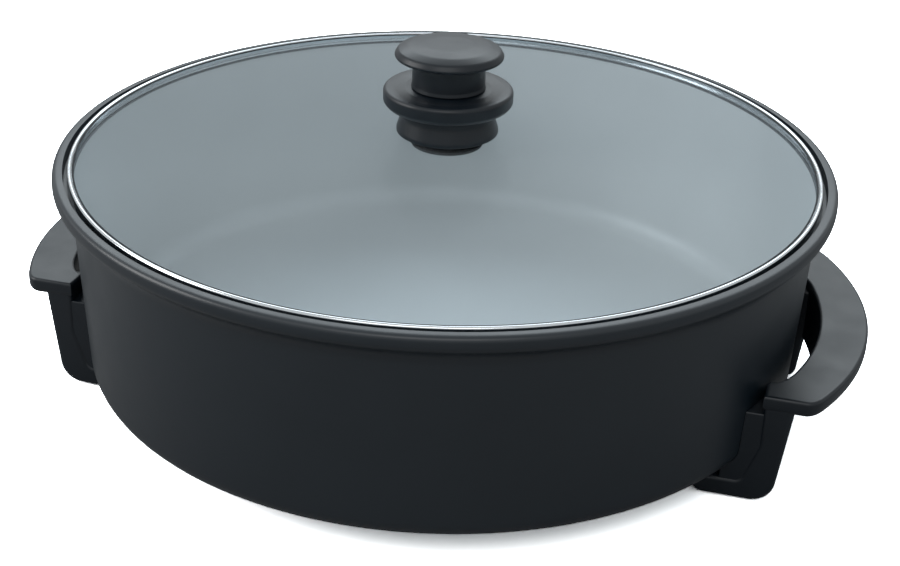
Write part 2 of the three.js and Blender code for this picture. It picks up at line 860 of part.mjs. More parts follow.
place(panGroup, 'inlet_shroud', inletShroud(), moulding);
place(panGroup, 'probe_sleeve', probeSleeve(), steel);
const pinGeometry = inletPin();
for (const [number, sign] of [[1, -1], [2, 1]]) {
  const spot = at(earScrew.x, sign * earScrew.y);
  place(panGroup, `inlet_pin_${number}`, pinGeometry, steel, at(0, (sign * element.pitch) / 2));
  place(panGroup, `shroud_boss_${number}`, bossGeometry, aluminium, spot);
  place(panGroup, `shroud_screw_${number}`, earScrewGeometry, zinc, spot);
}

const knobBore = fixing.screwRadius + fixing.bore;
const glassUnder = apex - lid.glass;
const washerTop = glassUnder - gap;
const plateTop = washerTop - fixing.washer - gap;
const headTop = plateTop - fixing.plate - gap;

place(lidGroup, 'lid_glass', lidGlass(), glass);
place(lidGroup, 'lid_ring', lidRing(), steel);
const gasketFoot = apex + gap;
const gasketRadius = knob.baseRadius - knob.gasketInset;
const knobGasket = washer(gasketRadius, knobBore, gasketFoot, gasketFoot + knob.gasket, sides.knob);
place(lidGroup, 'knob_gasket', knobGasket, rubber);
place(lidGroup, 'knob_seat', knobSeat(), moulding);
place(lidGroup, 'knob_grip', knobGrip(), moulding);
const knobWasher = washer(fixing.washerRadius, knobBore, washerTop - fixing.washer, washerTop, sides.knob);
place(lidGroup, 'knob_washer', knobWasher, rubber);
const knobPlate = washer(fixing.plateRadius, knobBore, plateTop - fixing.plate, plateTop, sides.pin);
place(lidGroup, 'knob_plate', knobPlate, zinc);
const knobScrewTip = stemFoot + fixing.reach;
const knobScrew = screw(fixing.screwRadius, fixing.headRadius, headTop - fixing.head, headTop, knobScrewTip);
place(lidGroup, 'knob_screw', knobScrew, zinc);

export default partyPan;
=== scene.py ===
import math

import bmesh
import bpy
from mathutils import Matrix, Vector


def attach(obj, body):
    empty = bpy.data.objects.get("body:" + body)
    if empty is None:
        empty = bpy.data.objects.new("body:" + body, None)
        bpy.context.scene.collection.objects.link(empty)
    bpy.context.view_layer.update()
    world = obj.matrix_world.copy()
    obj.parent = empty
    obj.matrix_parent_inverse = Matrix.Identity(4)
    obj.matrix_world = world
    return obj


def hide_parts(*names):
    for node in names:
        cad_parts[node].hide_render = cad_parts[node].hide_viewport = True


# Electric party pan with a lift-off glass lid. Sizes are in mm and go into the meshes as metres.

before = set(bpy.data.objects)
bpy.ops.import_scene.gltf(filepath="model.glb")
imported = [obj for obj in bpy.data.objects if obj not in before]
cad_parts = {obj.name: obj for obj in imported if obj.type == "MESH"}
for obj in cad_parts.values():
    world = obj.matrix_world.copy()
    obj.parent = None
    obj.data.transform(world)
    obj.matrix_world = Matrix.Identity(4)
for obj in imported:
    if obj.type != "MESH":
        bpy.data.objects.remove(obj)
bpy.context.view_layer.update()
print("frame loaded")

mm = 0.001
gap = 0.3  # between pieces that touch, as in the CAD
hair = 0.08  # between the lid's seal and its ring


# Colours and nodes

def linear(hexColour):
    parts = [int(hexColour[i:i + 2], 16) / 255 for i in (1, 3, 5)]
    return [p / 12.92 if p <= 0.04045 else ((p + 0.055) / 1.055) ** 2.4 for p in parts] + [1]


def addNode(mat, kind, settings=None, **inputs):
    node = mat.node_tree.nodes.new(kind)
    for key, value in (settings or {}).items():
        setattr(node, key, value)
    for key, value in inputs.items():
        socket = node.inputs[int(key[1:])] if key[0] == "_" else node.inputs[key.replace("_", " ")]
        if isinstance(value, bpy.types.NodeSocket):
            mat.node_tree.links.new(value, socket)
        else:
            socket.default_value = value
    return node


def newMaterial(name):
    mat = bpy.data.materials.new(name)
    mat.use_nodes = True
    mat.node_tree.nodes.clear()
    return mat


def surface(mat, shader):
    addNode(mat, "ShaderNodeOutputMaterial", Surface=shader.outputs[0])
    return mat


def perMm(size):
    return 1000 / size  # noise scale for features of this size in mm


# Tone that drifts between two close colours, and a roughness that drifts with it.
def drift(mat, place, size, first, second, roughs, detail=3.0):
    noise = addNode(mat, "ShaderNodeTexNoise", Vector=place, Scale=perMm(size), Detail=detail)
    tone = addNode(mat, "ShaderNodeMix", {"data_type": "RGBA"}, _0=noise.outputs["Fac"],
                   _6=linear(first), _7=linear(second))
    rough = addNode(mat, "ShaderNodeMapRange", _0=noise.outputs["Fac"], _1=0.3, _2=0.7,
                    _3=roughs[0], _4=roughs[1])
    return tone.outputs[2], rough.outputs[0]


def bumps(mat, place, size, height, strength=1.0, detail=2.0):
    noise = addNode(mat, "ShaderNodeTexNoise", Vector=place, Scale=perMm(size), Detail=detail)
    return addNode(mat, "ShaderNodeBump", Height=noise.outputs["Fac"], Strength=strength,
                   Distance=height * mm).outputs[0]


# Heat-resistant paint sprayed on spun aluminium: dark slate, satin, with a faint orange peel.
def makeSatinPaint():
    mat = newMaterial("sprayed_satin_paint")
    place = addNode(mat, "ShaderNodeTexCoord").outputs["Object"]
    tone, rough = drift(mat, place, 60, "#0d1820", "#121d26", (0.33, 0.43))
    shader = addNode(mat, "ShaderNodeBsdfPrincipled", Base_Color=tone, Roughness=rough,
                     Normal=bumps(mat, place, 1.6, 0.015))
    shader.inputs["Specular IOR Level"].default_value = 0.7
    return surface(mat, shader)


# Non-stick coating baked on the inside, with fine flecks. Its light grey is partly painted
# reflection:
# it is kept light so that through the lid it gives the brightness that the glass's reflection of
# the surroundings would add.
def makeNonStick():
    mat = newMaterial("nonstick_lightened_as_painted_reflection")
    place = addNode(mat, "ShaderNodeTexCoord").outputs["Object"]
    # Light grey, kept light as painted reflection of the surroundings in the lid's glass.
    tone, rough = drift(mat, place, 30, "#d4d5d4", "#dadbda", (0.34, 0.42))
    flecks = addNode(mat, "ShaderNodeTexVoronoi", Vector=place, Scale=perMm(1.8))
    near = addNode(mat, "ShaderNodeMapRange", _0=flecks.outputs["Distance"], _1=0.08, _2=0.2,
                   _3=0.5, _4=0.0)
    mixed = addNode(mat, "ShaderNodeMix", {"data_type": "RGBA"}, _0=near.outputs[0], _6=tone,
                    _7=linear("#e4e5e4"))
    shader = addNode(mat, "ShaderNodeBsdfPrincipled", Base_Color=mixed.outputs[2], Roughness=rough,
                     Normal=bumps(mat, place, 1.2, 0.015))
    return surface(mat, shader)


# Tempered glass with a light haze, which is painted reflection: the twentieth of the light that
# does not pass through scatters the pale base colour and brightens the glass in place of the
# reflections that the low index leaves out. Its index is set far below the 1.5 of real glass, to
# keep the reflections faint and the view of the inside clear. Lamps shine through it.
def makeGlass():
    mat = newMaterial("glass_with_painted_haze")
    glass = addNode(mat, "ShaderNodeBsdfPrincipled", Base_Color=linear("#eef3f6"), Roughness=0.16,
                    IOR=1.03)
    # Painted reflection: this twentieth scatters the pale base colour as haze.
    glass.inputs["Transmission Weight"].default_value = 0.95
    clear = addNode(mat, "ShaderNodeBsdfTransparent", Color=linear("#eef3f6"))
    rays = addNode(mat, "ShaderNodeLightPath")
    lets = addNode(mat, "ShaderNodeMath", {"operation": "MAXIMUM"},
                   _0=rays.outputs["Is Shadow Ray"], _1=rays.outputs["Is Diffuse Ray"])
    return surface(mat, addNode(mat, "ShaderNodeMixShader", _0=lets.outputs[0],
                                _1=glass.outputs[0], _2=clear.outputs[0]))


# Stainless steel rolled and polished: near white and bright, its gloss a little uneven.
def makePolishedSteel():
    mat = newMaterial("polished_stainless")
    place = addNode(mat, "ShaderNodeTexCoord").outputs["Object"]
    tone, rough = drift(mat, place, 8, "#dfe3e6", "#e8ebed", (0.12, 0.22))
    shader = addNode(mat, "ShaderNodeBsdfPrincipled", Base_Color=tone, Metallic=1.0,
                     Roughness=rough)
    return surface(mat, shader)


# Zinc-plated steel: duller, slightly mottled.
def makeZinc():
    mat = newMaterial("zinc_plated_steel")
    place = addNode(mat, "ShaderNodeTexCoord").outputs["Object"]
    tone, rough = drift(mat, place, 1.5, "#a8adb1", "#bcc0c2", (0.3, 0.5))
    shader = addNode(mat, "ShaderNodeBsdfPrincipled", Base_Color=tone, Metallic=1.0,
                     Roughness=rough, Normal=bumps(mat, place, 0.5, 0.01))
    return surface(mat, shader)


# Drawn steel of the element's sheath, tinted by heat: olive grey going straw and brown.
def makeSheathSteel():
    mat = newMaterial("heat_tinted_steel")
    place = addNode(mat, "ShaderNodeTexCoord").outputs["Object"]
    tone, rough = drift(mat, place, 22, "#6d6a60", "#8a8172", (0.4, 0.6))
    shader = addNode(mat, "ShaderNodeBsdfPrincipled", Base_Color=tone, Metallic=1.0,
                     Roughness=rough, Normal=bumps(mat, place, 0.9, 0.02))
    return surface(mat, shader)


# Aluminium with turning marks: rings round the pan's axis 6 mm apart, coarser than real ones.
def makeTurnedAluminium():
    mat = newMaterial("turned_aluminium")
    place = addNode(mat, "ShaderNodeTexCoord").outputs["Object"]
    tone, rough = drift(mat, place, 12, "#aaaeb0", "#b9bcbd", (0.34, 0.48))
    rings = addNode(mat, "ShaderNodeTexWave", {"wave_type": "RINGS", "rings_direction": "Z"},
                    Vector=place, Scale=perMm(1.0) / 20, Distortion=0.4)
    bump = addNode(mat, "ShaderNodeBump", Height=rings.outputs["Fac"], Distance=0.02 * mm,
                   Strength=0.6)
    shader = addNode(mat, "ShaderNodeBsdfPrincipled", Base_Color=tone, Metallic=1.0,
                     Roughness=rough, Normal=bump.outputs[0])
    return surface(mat, shader)


# Phenolic moulding: near black slate, soft gloss from the tool, fine spark-eroded grain.
def makeMoulding():
    mat = newMaterial("moulded_phenolic")
    place = addNode(mat, "ShaderNodeTexCoord").outputs["Object"]
    tone, rough = drift(mat, place, 18, "#09121a", "#0f1820", (0.34, 0.42))
    shader = addNode(mat, "ShaderNodeBsdfPrincipled", Base_Color=tone, Roughness=rough,
                     Normal=bumps(mat, place, 0.8, 0.012))
    shader.inputs["Specular IOR Level"].default_value = 0.5
    return surface(mat, shader)


# Silicone rubber: matt, slightly dusty black.
def makeRubber():
    mat = newMaterial("silicone_rubber")
    place = addNode(mat, "ShaderNodeTexCoord").outputs["Object"]
    tone, rough = drift(mat, place, 6, "#0c1318", "#141b20", (0.65, 0.8))
    shader = addNode(mat, "ShaderNodeBsdfPrincipled", Base_Color=tone, Roughness=rough,
                     Normal=bumps(mat, place, 0.6, 0.02))
    return surface(mat, shader)


satinPaint = makeSatinPaint()
nonStick = makeNonStick()
temperedGlass = makeGlass()
polishedSteel = makePolishedSteel()
zincSteel = makeZinc()
sheathSteel = makeSheathSteel()
turnedAluminium = makeTurnedAluminium()
moulding = makeMoulding()
rubber = makeRubber()
print("materials made")


# Mesh tools

def piece(name, points, faces, mats, faceMats=None, sharp=32):
    mesh = bpy.data.meshes.new(name)
    mesh.from_pydata([[c * mm for c in p] for p in points], [], faces)
    for mat in mats:
        mesh.materials.append(mat)
    if faceMats:
        mesh.polygons.foreach_set("material_index", faceMats)
    obj = bpy.data.objects.new(name, mesh)
    bpy.context.scene.collection.objects.link(obj)
    smooth(obj, sharp)
    return obj


# Turns every face outwards and keeps edges above an angle sharp.
def smooth(obj, sharp=32):
    bm = bmesh.new()
    bm.from_mesh(obj.data)
    bmesh.ops.recalc_face_normals(bm, faces=bm.faces)
    bm.to_mesh(obj.data)
    bm.free()
    obj.data.shade_smooth()
    obj.data.set_sharp_from_angle(angle=math.radians(sharp))


def arc(cx, cy, radius, start, end, steps):
    points = []
    for i in range(steps + 1):
        a = math.radians(start + (end - start) * i / steps)
        points.append((cx + radius * math.cos(a), cy + radius * math.sin(a)))
    return points


# Points between two others. Rows close to a bend keep the shading of a long face true.
def between(first, second, shares):
    return [tuple(a + (b - a) * share for a, b in zip(first, second)) for share in shares]


# A quadratic curve from start to end, without its first point.
def curve(start, pull, end, steps):
    points = []
    for i in range(1, steps + 1):
        t = i / steps
        points.append(tuple((1 - t) ** 2 * a + 2 * t * (1 - t) * b + t * t * c
                            for a, b, c in zip(start, pull, end)))
    return points


# Rounds the corners of a path: each corner is (x, y) or (x, y, radius).
def rounded(corners, closed=False, step=15):
    points = []
    last = len(corners) - 1
    for i, spot in enumerate(corners):
        here = Vector(spot[:2])
        radius = spot[2] if len(spot) > 2 else 0
        if radius == 0 or (not closed and i in (0, last)):
            points.append(tuple(here))
            continue
        back = (Vector(corners[i - 1][:2]) - here).normalized()
        ahead = (Vector(corners[(i + 1) % len(corners)][:2]) - here).normalized()
        corner = back.angle(ahead)
        reach = radius / math.tan(corner / 2)
        middle = here + (back + ahead).normalized() * radius / math.sin(corner / 2)
        first, second = here + back * reach, here + ahead * reach
        count = max(2, round(math.degrees(math.pi - corner) / step))
        a = math.atan2(*(first - middle).yx)
        turn = math.atan2(*(second - middle).yx) - a
        turn = (turn + math.pi) % (2 * math.pi) - math.pi
        for k in range(count + 1):
            t = a + turn * k / count
            points.append((middle.x + radius * math.cos(t), middle.y + radius * math.sin(t)))
    return points


def box2(x0, y0, x1, y1, radius):
    return rounded([(x0, y0, radius), (x1, y0, radius), (x1, y1, radius), (x0, y1, radius)],
                   closed=True)


# Turns a profile of (radius, height) about the Z axis. A point at radius 0 closes it. From the
# point number secondFrom on, the second material is used.
def turned(name, profile, mats, closed=False, around=192, secondFrom=None, sharp=32):
    points, rows, faces, faceMats = [], [], [], []
    for r, z in profile:
        if r < 1e-6:
            rows.append([len(points)] * around)
            points.append((0, 0, z))
            continue
        rows.append(list(range(len(points), len(points) + around)))
        for k in range(around):
            a = 2 * math.pi * k / around
            points.append((r * math.cos(a), r * math.sin(a), z))
    for i in range(len(rows) if closed else len(rows) - 1):
        low, high = rows[i], rows[(i + 1) % len(rows)]
        for k in range(around):
            n = (k + 1) % around
            face = [low[k], low[n], high[n], high[k]]
            face = [v for q, v in enumerate(face) if v != face[q - 1]]
            if len(face) > 2:
                faces.append(face)
                faceMats.append(0 if secondFrom is None or i < secondFrom else 1)
    return piece(name, points, faces, mats, faceMats, sharp)


def awayFrom(spot, first, second):
    run = second - first
    share = min(1, max(0, (spot - first).dot(run) / run.length_squared))
    return (spot - first - run * share).length


# Outline moved in by a distance. Points that would fold over a corner are spread between the
# good ones beside them.
def inset(outline, distance):
    path = [Vector(spot) for spot in outline]
    count = len(path)
    inner = []
    for i, here in enumerate(path):
        first = (here - path[i - 1]).normalized()
        second = (path[(i + 1) % count] - here).normalized()
        side = Vector((-first.y - second.y, first.x + second.x)).normalized()
        inner.append(here + side * distance / max(0.4, side.dot(Vector((-first.y, first.x)))))
    if distance > 1:
        good = [all(awayFrom(spot, path[k - 1], path[k]) > distance * 0.98 for k in range(count))
                for spot in inner]
        last = good.index(True)
        for j in range(last + 1, last + count + 1):
            if good[j % count]:
                for k in range(last + 1, j):
                    inner[k % count] = inner[last % count].lerp(inner[j % count],
                                                                (k - last) / (j - last))
                last = j
    return [tuple(spot) for spot in inner]


def lying(u, v, w):
    return u, v, w


def standing(u, v, w):
    return u, w, v


def facing(u, v, w):
    return w, u, v


# A plate from an outline drawn anticlockwise, with its lower and upper edges rounded. The last
# ring on the upper face keeps its shading flat. place turns (u, v, height) into a point.
def slab(name, outline, low, high, lowEdge, highEdge, mats, place=lying, steps=4):
    rings = []
    for k in range(steps + 1 if lowEdge else 1):
        a = math.pi / 2 * (1 - k / steps)
        rings.append((lowEdge * (1 - math.cos(a)), low + lowEdge * (1 - math.sin(a))))
    for k in range(0 if highEdge else steps, steps + 1):
        a = math.pi / 2 * k / steps
        rings.append((highEdge * (1 - math.cos(a)), high - highEdge * (1 - math.sin(a))))
    if highEdge:
        rings.append((highEdge * 1.2, high))
    points, faces = [], []
    count = len(outline)
    for distance, height in rings:
        points += [place(u, v, height) for u, v in inset(outline, distance)]
    for row in range(len(rings) - 1):
        for k in range(count):
            n = (k + 1) % count
            base, top = row * count, (row + 1) * count
            faces.append([base + k, base + n, top + n, top + k])
    faces.append(list(range(count))[::-1])
    faces.append([(len(rings) - 1) * count + k for k in range(count)])
    return piece(name, points, faces, mats)


# A round rod along a path that lies at one height.
def rod(name, path, height, radius, mats, around=20):
    points, faces = [], []
    last = len(path) - 1
    for i, spot in enumerate(path):
        here = Vector(spot)
        ahead = (Vector(path[min(i + 1, last)]) - Vector(path[max(i - 1, 0)])).normalized()
        for k in range(around):
            a = 2 * math.pi * k / around
            out = radius * math.cos(a)
            points.append((here.x - ahead.y * out, here.y + ahead.x * out,
                           height + radius * math.sin(a)))
    for i in range(last):
        for k in range(around):
            n = (k + 1) % around
            faces.append([i * around + k, i * around + n, (i + 1) * around + n,
                          (i + 1) * around + k])
    faces.append(list(range(around))[::-1])
    faces.append([last * around + k for k in range(around)])
    return piece(name, points, faces, mats)


# Joins or cuts meshes and keeps the result in the first one.
def combine(base, others, operation, sharp=32):
    for other in others:
        mod = base.modifiers.new("combine", "BOOLEAN")
        mod.operation = operation
        mod.solver = "EXACT"
        mod.object = other
        bpy.context.view_layer.update()
        shape = bpy.data.meshes.new_from_object(
            base.evaluated_get(bpy.context.evaluated_depsgraph_get()))
        base.modifiers.clear()
        base.data = shape
        bpy.data.objects.remove(other, do_unlink=True)
    smooth(base, sharp)
    return base


def shift(x, y, z=0.0):
    return Matrix.Translation((x * mm, y * mm, z * mm))


def spin(degrees, axis="Z"):
    return Matrix.Rotation(math.radians(degrees), 4, axis)


def moved(obj, move):
    obj.data.transform(move)
    smooth(obj)
    return obj


def copyOf(obj, name, move):
    other = bpy.data.objects.new(name, obj.data.copy())
    bpy.context.scene.collection.objects.link(other)
    return moved(other, move)


def dress(obj, body, slot, *nodes):
    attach(obj, body)
    if nodes:
        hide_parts(*nodes)


# Pan: one spun shell with a rolled rim and a ledge for the lid

pan = {
    "rimRadius": 199.79,
    "roll": 4.7,
    "square": 0.6,  # below 1 the roll's upper outer side is fuller than a circle
    "rimTop": 129.8,
    "underside": 18,
    "neckTuck": 3.5,
    "neckStep": 0.5,  # the wall's top lies this far inside the neck
    "hollow": 11,  # rounding of the neck between the wall and the roll
    "lowRadius": 187,
    "corner": 10,
    "wall": 2.5,
    "floor": 3,
    "innerCorner": 12,
    "seatRadius": 194.4,
    "seatDepth": 5.8,
    "middle": 60,  # radius of the flat disc in the middle
}
rollR = pan["rimRadius"] - pan["roll"]
rollZ = pan["rimTop"] - pan["roll"]
neckRadius = rollR - pan["neckTuck"]
flatRadius = pan["lowRadius"] - pan["corner"]


def makePan():
    low, corner, seat = pan["underside"], pan["corner"], pan["seatRadius"]
    ledge = pan["rimTop"] - pan["seatDepth"]
    inner = pan["lowRadius"] - pan["wall"]
    floorTop = low + pan["floor"]
    hollow = pan["hollow"]
    wallTop = neckRadius - pan["neckStep"]
    hollowX = wallTop + hollow
    hollowZ = rollZ - math.sqrt((pan["roll"] + hollow) ** 2 - (hollowX - rollR) ** 2)
    seatAngle = math.degrees(math.acos((seat - rollR) / pan["roll"]))
    neckAngle = math.degrees(math.atan2(hollowZ - rollZ, hollowX - rollR))
    lip = neckRadius - pan["wall"]
    profile = [(0, low), (pan["middle"], low)]
    profile += arc(flatRadius, low + corner, corner, -90, -4, 12)
    profile += between(profile[-1], (wallTop, hollowZ), (0.03, 0.35, 0.7, 0.97))
    profile += arc(hollowX, hollowZ, hollow, 180, 180 + neckAngle, 10)
    profile += arc(rollR, rollZ, pan["roll"], neckAngle, 0, 10)[1:]
    for r, z in arc(0, 0, 1, 4, 86, 20):  # the fuller quarter
        profile.append((rollR + pan["roll"] * r ** pan["square"],
                        rollZ + pan["roll"] * z ** pan["square"]))
    profile += arc(rollR, rollZ, pan["roll"], 90, seatAngle, 2)
    profile += rounded([(seat, rollZ + 3), (seat, ledge, 0.5), (lip, ledge, 1.0),
                        (lip - 0.4, ledge - 6)])
    inside = len(profile) - 3
    turn = arc(inner - pan["innerCorner"], floorTop + pan["innerCorner"], pan["innerCorner"],
               -4, -90, 10)
    profile += between(profile[-1], turn[0], (0.03, 0.5, 0.97)) + turn
    profile += [(pan["middle"], floorTop), (0, floorTop)]
    shell = turned("pan_shell", profile, [satinPaint, nonStick], around=256, secondFrom=inside)
    dress(shell, "pan", "painted_aluminium", "pan_body")


makePan()
print("pan made")


# Lid: domed glass, rolled steel ring and the lip of the seal between them

lid = {
    "edgeRadius": 191.2,
    "glassBottom": 125.4,
    "glass": 4,
    "flatRadius": 188.0,
    "rise": 10.8,
    "hole": 4,
    "pencil": 1.4,  # rounding of the glass's edge
    "ringOuter": 192.3,
    "ringBottom": 124.3,
    "ringTop": 130.5,
    "sheet": 0.8,
    "beadRadius": 1.15,
    "beadMiddle": 190.9,
    "hem": 2.2,  # width of the lip under the glass
    "sealWidth": 0.97,
    "sealHigh": 0.75,  # at the ring, above the glass
    "sealLow": 0.45,
}


def domeHeight(r, base):
    flat, rise = lid["flatRadius"], lid["rise"]
    if r >= flat:
        return base
    radius = (flat ** 2 + rise ** 2) / (2 * rise)
    return base + math.sqrt(radius ** 2 - r ** 2) - radius + rise


def makeGlassLid():
    bottom, top = lid["glassBottom"], lid["glassBottom"] + lid["glass"]
    radii = [lid["hole"] + (lid["flatRadius"] - lid["hole"]) * i / 28 for i in range(29)]
    radii += [lid["flatRadius"] + 1.2]
    edge = rounded([(lid["flatRadius"] + 2, bottom), (lid["edgeRadius"], bottom, lid["pencil"]),
                    (lid["edgeRadius"], top, lid["pencil"]), (lid["flatRadius"] + 2, top)])
    profile = [(r, domeHeight(r, bottom)) for r in radii] + edge
    profile += [(r, domeHeight(r, top)) for r in reversed(radii)]
    glass = turned("glass_dome", profile, [temperedGlass], closed=True, around=256)
    dress(glass, "lid", "lid_glass", "lid_glass")


def makeRing():
    outer, bottom, top, sheet = lid["ringOuter"], lid["ringBottom"], lid["ringTop"], lid["sheet"]
    bead, middle = lid["beadRadius"], lid["beadMiddle"]
    glassTop = lid["glassBottom"] + lid["glass"]
    beadLow = middle - bead
    profile = rounded([(outer - lid["hem"], bottom), (outer, bottom, 0.9),
                       (outer, bottom + 1.7, 0.4), (middle + bead, bottom + 2.4, 0.4)])
    profile += arc(middle, top - bead, bead, 0, 180, 12)
    profile += rounded([(beadLow, glassTop + gap), (outer - sheet, glassTop + gap, 0.2),
                        (outer - sheet, bottom + sheet, 0.3),
                        (outer - lid["hem"], bottom + sheet)])
    ring = turned("steel_ring", profile, [polishedSteel], closed=True, around=256)
    dress(ring, "lid", "polished_steel", "lid_ring")
    # Black seal lip: it draws the dark line inside the ring, which is in part the shade at the
    # ring's inner edge, so the lip is partly painted shade.
    sealOut, sealFoot = beadLow - hair, glassTop + 0.05
    sealIn = sealOut - lid["sealWidth"]
    seal = turned("seal_lip_partly_painted_shade", rounded([
        (sealIn, sealFoot, 0.2), (sealOut, sealFoot, 0.05),
        (sealOut, glassTop + lid["sealHigh"], 0.2), (sealIn, glassTop + lid["sealLow"], 0.3)],
        closed=True), [rubber], closed=True, around=256)
    dress(seal, "lid", "black_rubber")


makeGlassLid()
makeRing()
print("lid made")


# Knob: flanged base, grip, washers and screw

knob = {
    "seatFoot": 141.8,
    "baseRadius": 26.2,
    "waistRadius": 24,
    "flangeBottom": 156,
    "flangeTop": 165.5,
    "flangeRadius": 33.2,
    "stemFoot": 165.8,
    "stemRadius": 18.6,
    "topUnder": 181.0,
    "topEdge": 182.8,
    "topRadius": 27.8,
    "top": 188.3,
    "bore": 3.0,
    "boreDepth": 12.3,
}
knobScrew = {"shank": 2.5, "head": 5.2, "low": 130.0, "high": 132.6, "tip": 177.8}
washers = {
    "upper_washer": {"node": "knob_gasket", "radius": 23, "low": 140.5, "high": 141.5,
                     "mat": rubber, "slot": "black_rubber"},
    "lower_washer": {"node": "knob_washer", "radius": 18.5, "low": 134.4, "high": 135.9,
                     "mat": rubber, "slot": "black_rubber"},
    "knob_disc": {"node": "knob_plate", "radius": 9, "low": 132.9, "high": 134.1,
                  "mat": zincSteel, "slot": "plated_steel"},
}


# Pan-head screw that stands on its head, with a cross recess.
def makeScrew(name, shank, head, low, high, tip):
    body = turned(name, [(0, low), (head * 0.5, low + 0.05)]
                  + rounded([(head * 0.6, low + 0.1), (head, low + 0.7, 1.1), (head, high, 0.2),
                             (shank, high, 0.3), (shank, tip - shank, 0.5), (shank * 0.4, tip)],
                            step=10) + [(0, tip)], [zincSteel], around=40)
    arm, half = head * 0.58, 0.45  # of the cross
    cross = [(arm, -half), (arm, half), (half, half), (half, arm), (-half, arm), (-half, half),
             (-arm, half), (-arm, -half), (-half, -half), (-half, -arm), (half, -arm),
             (half, -half)]
    recess = slab("recess", cross, low - 1, low + 1.3, 0, 0.2, [zincSteel], steps=1)
    return combine(body, [recess], "DIFFERENCE")


def makeKnob():
    k = knob
    foot, low, high, wide = k["seatFoot"], k["flangeBottom"], k["flangeTop"], k["flangeRadius"]
    seat = turned("knob_base", rounded([
        (k["bore"], foot), (k["baseRadius"], foot, 0.7), (k["baseRadius"], foot + 2, 3),
        (k["waistRadius"], foot + 9, 8), (k["waistRadius"], low, 1.2), (wide - 2, low, 3),
        (wide, low + 2.5, 2),
        (wide, high - 0.3, 2.2), (wide - 5, high, 10), (22, high - 0.6, 4), (20, high - 0.2, 0),
        (k["bore"], high - 0.2)], closed=True, step=9), [moulding], closed=True, around=128)
    dress(seat, "lid", "black_moulding", "knob_seat")
    stem, boreTop = k["stemRadius"], k["stemFoot"] + k["boreDepth"]
    under, edge, top, broad = k["topUnder"], k["topEdge"], k["top"], k["topRadius"]
    grip = turned("knob_handle", rounded([
        (0, boreTop), (k["bore"], boreTop), (k["bore"], k["stemFoot"]),
        (stem + 0.5, k["stemFoot"], 0.3), (stem, k["stemFoot"] + 2, 3), (stem, under, 1.6),
        (broad - 0.6, under + 0.5, 0.6), (broad, edge - 0.2, 1.2), (broad - 1.6, edge + 2.6, 3),
        (broad - 7, top - 0.9, 7), (12, top - 0.1, 12), (0, top)], step=9),
        [moulding], around=128)
    dress(grip, "lid", "black_moulding", "knob_grip")
    for name, w in washers.items():
        part = turned(name, rounded([
            (k["bore"], w["low"]), (w["radius"], w["low"], 0.4), (w["radius"], w["high"], 0.4),
            (k["bore"], w["high"])], closed=True), [w["mat"]], closed=True, around=96)
        dress(part, "lid", w["slot"], w["node"])
    s = knobScrew
    screw = makeScrew("knob_fixing", s["shank"], s["head"], s["low"], s["high"], s["tip"])
    dress(screw, "lid", "plated_steel", "knob_screw")


makeKnob()
print("knob made")


# Handles: a crescent grip, a skirt under its inner edge, and two hollow legs

grip = {
    "reach": 223.8,
    "outerArc": 162.6,
    "innerArc": 155.5,
    "width": 24.5,
    "frontEnd": 77.7,  # middle to the front end
    "rearEnd": 96.2,
    "tailTaper": 9,
    "innerEdge": 179.5,
    "straight": 63.7,
    "slotHalf": 50,
    "endRound": 9,
    "bottom": 52,
    "top": 60.5,
    "topEdge": 1.7,
    "bottomEdge": 3.2,
    "skirt": 2.1,
    "skirtInset": 0.1,  # behind the inner edge
    "skirtLow": 26.5,
    "skirtHalf": 55,
    "skirtLevel": 15,  # behind the middle: from here on its lower edge rises to the front
    "skirtRise": 0.25,
}
leg = {
    "outerTop": 195,
    "outerFoot": 188.8,
    "innerTop": 179.8,
    "heel": 172.8,
    "heelHeight": 32,
    "toeEnd": 150.6,
    "toeTop": 11.7,
    "bottom": 1,
    "near": 51.2,
    "far": 77.2,
    "edge": 2.2,
    "frontCorner": 12,  # rounding of the foot's outer corner
    "rearCorner": 6,
    "inGrip": 3.1,  # how far its top runs up into the grip
    "shell": 3.4,
    "screwX": 156.3,
    "screwY": 64.2,
    "screwBore": 2.4,
    "headBore": 4.4,
    "headDepth": 4.5,
    "webInner": 162.8,
    "webOuter": 182.1,
    "webHalf": 12.4,
    "webDrop": 2,  # top of the web below the grip
    "padX": (162.6, 180.8),
    "padHalf": 7.5,
    "padTop": 2.2,
}


# Where the outer arc gives way to a rounded end, at some length from the middle.
def gripEnd(length):
    g = grip
    angle = math.asin((length - g["endRound"]) / g["outerArc"])
    x = g["reach"] - g["outerArc"] * (1 - math.cos(angle))
    return math.degrees(angle), x, x - g["endRound"] * math.tan(angle)


def gripOutline():
    g = grip
    outerX, innerX = g["reach"] - g["outerArc"], g["reach"] - g["width"] - g["innerArc"]
    near, far, bend = -g["frontEnd"], g["rearEnd"], g["endRound"]
    nearTurn, nearX, nearPull = gripEnd(g["frontEnd"])
    farTurn, farX, farPull = gripEnd(g["rearEnd"])
    slot = math.degrees(math.asin(g["slotHalf"] / g["innerArc"]))
    inner = arc(innerX, 0, g["innerArc"], slot, -slot, 40)
    pull = (g["innerEdge"] + inner[0][0]) / 2
    outline = [(g["innerEdge"], near), (nearX - bend, near)]
    outline += curve(outline[-1], (nearPull, near), (nearX, near + bend), 10)
    outline += arc(outerX, 0, g["outerArc"], -nearTurn, farTurn, 48)[1:]
    outline += curve(outline[-1], (farPull, far), (farX - bend, far), 10)
    outline += [(g["innerEdge"] - g["tailTaper"], far), (g["innerEdge"], g["straight"])]
    outline += curve(outline[-1], (pull, g["straight"] - gap), inner[0], 8)
    outline += inner[1:]
    outline += curve(outline[-1], (pull, gap - g["straight"]), (g["innerEdge"], -g["straight"]), 8)
    return outline
